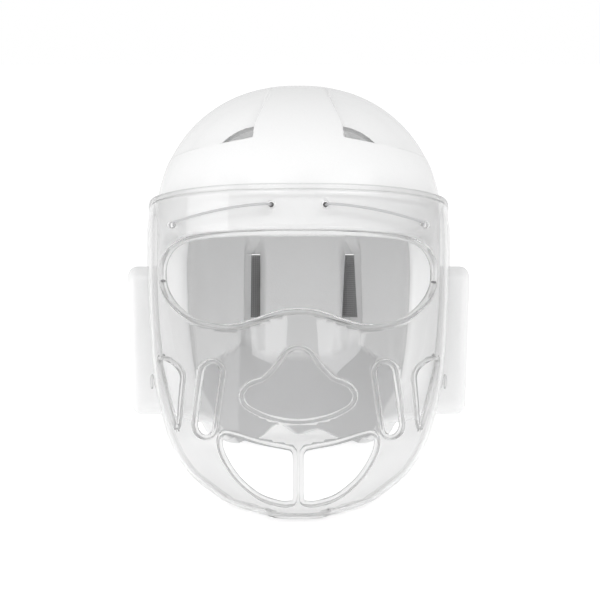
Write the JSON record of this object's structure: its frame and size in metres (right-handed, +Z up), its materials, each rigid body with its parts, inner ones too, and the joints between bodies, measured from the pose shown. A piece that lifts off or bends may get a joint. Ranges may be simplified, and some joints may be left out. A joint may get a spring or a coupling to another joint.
{
  "type": "karate headgear with face shield",
  "caption": "White dipped-foam karate head guard with padded ear guards, a rear closure strap and a clear moulded face shield with an eye window and breathing openings.",
  "frame": {"origin": "bottom centre of the bounding box, on the surface that the headgear stands on", "axes": "+Z up, the face opening and shield look towards -Y, +X is the wearer's left; the headgear leans back on the shield's chin and the guard's nape as it rests by itself"},
  "size_m": [0.2348, 0.296, 0.2595],
  "materials": {
    "foam": "smooth dipped vinyl skin over closed-cell foam, soft sheen",
    "shield": "clear moulded polycarbonate, polished",
    "trim": "clear soft edging",
    "cord": "thin clear nylon cord",
    "webbing": "woven elastic with hook and loop ends"
  },
  "bodies": {
    "root": {"head_guard": "foam", "ear_guard_left": "foam", "ear_guard_right": "foam", "face_shield": "shield", "eye_window_trim": "trim", "brow_lace_left": "cord", "brow_lace_right": "cord", "side_fastener_left": "trim", "side_fastener_right": "trim", "rear_strap": "webbing"}
  },
  "joints": []
}
